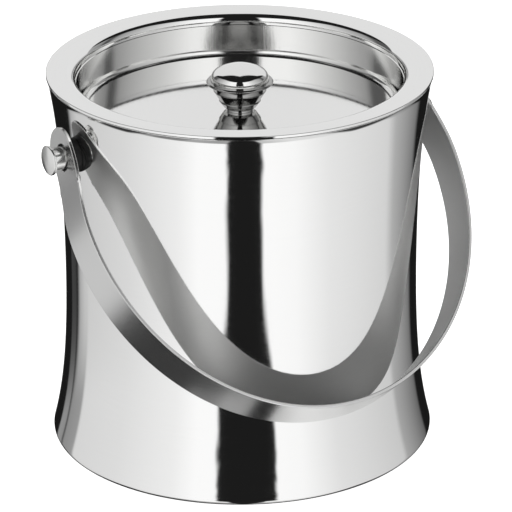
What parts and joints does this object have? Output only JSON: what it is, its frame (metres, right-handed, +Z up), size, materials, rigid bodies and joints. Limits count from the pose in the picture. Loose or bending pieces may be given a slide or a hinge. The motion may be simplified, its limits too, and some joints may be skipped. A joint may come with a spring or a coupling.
{
  "type": "ice bucket",
  "caption": "Double-wall steel ice bucket with a waisted body, a drop-in lid with a round knob, and a flat strap bail that swings on side pins.",
  "frame": {"origin": "centre of the base, on the surface that the bucket stands on", "axes": "+Z up along the bucket's axis; the bail pivots along X and hangs towards -Y at rest"},
  "size_m": [0.1914, 0.1835, 0.173],
  "materials": {
    "polished_steel": "mirror polished stainless steel",
    "satin_steel": "lightly satin polished stainless steel",
    "brushed_steel": "fine brushed stainless steel",
    "plain_steel": "plain zinc plated steel",
    "black_rubber": "satin black moulded rubber"
  },
  "bodies": {
    "bucket": {"outer_shell": "polished_steel", "inner_liner": "brushed_steel", "rim_ring": "polished_steel", "base_plate": "brushed_steel", "pivot_pin_left": "polished_steel", "pivot_pin_right": "polished_steel", "spacer_left": "black_rubber", "spacer_right": "black_rubber", "saddle_washer_left": "plain_steel", "saddle_washer_right": "plain_steel", "pivot_nut_left": "plain_steel", "pivot_nut_right": "plain_steel"},
    "bail": {"bail_strap": "satin_steel"},
    "lid": {"lid_panel": "polished_steel", "knob_body": "polished_steel", "knob_cap": "polished_steel", "knob_screw": "plain_steel", "knob_washer": "plain_steel"}
  },
  "joints": [
    {"name": "bail_swing", "type": "hinge", "parent": "bucket", "child": "bail", "pos_m": [0, 0, 0.1469], "axis": [-1, 0, 0], "range_deg": [0, 279]},
    {"name": "lid_lift", "type": "slide", "parent": "bucket", "child": "lid", "axis": [0, 0, 1], "range_m": [0, 0.08]}
  ]
}
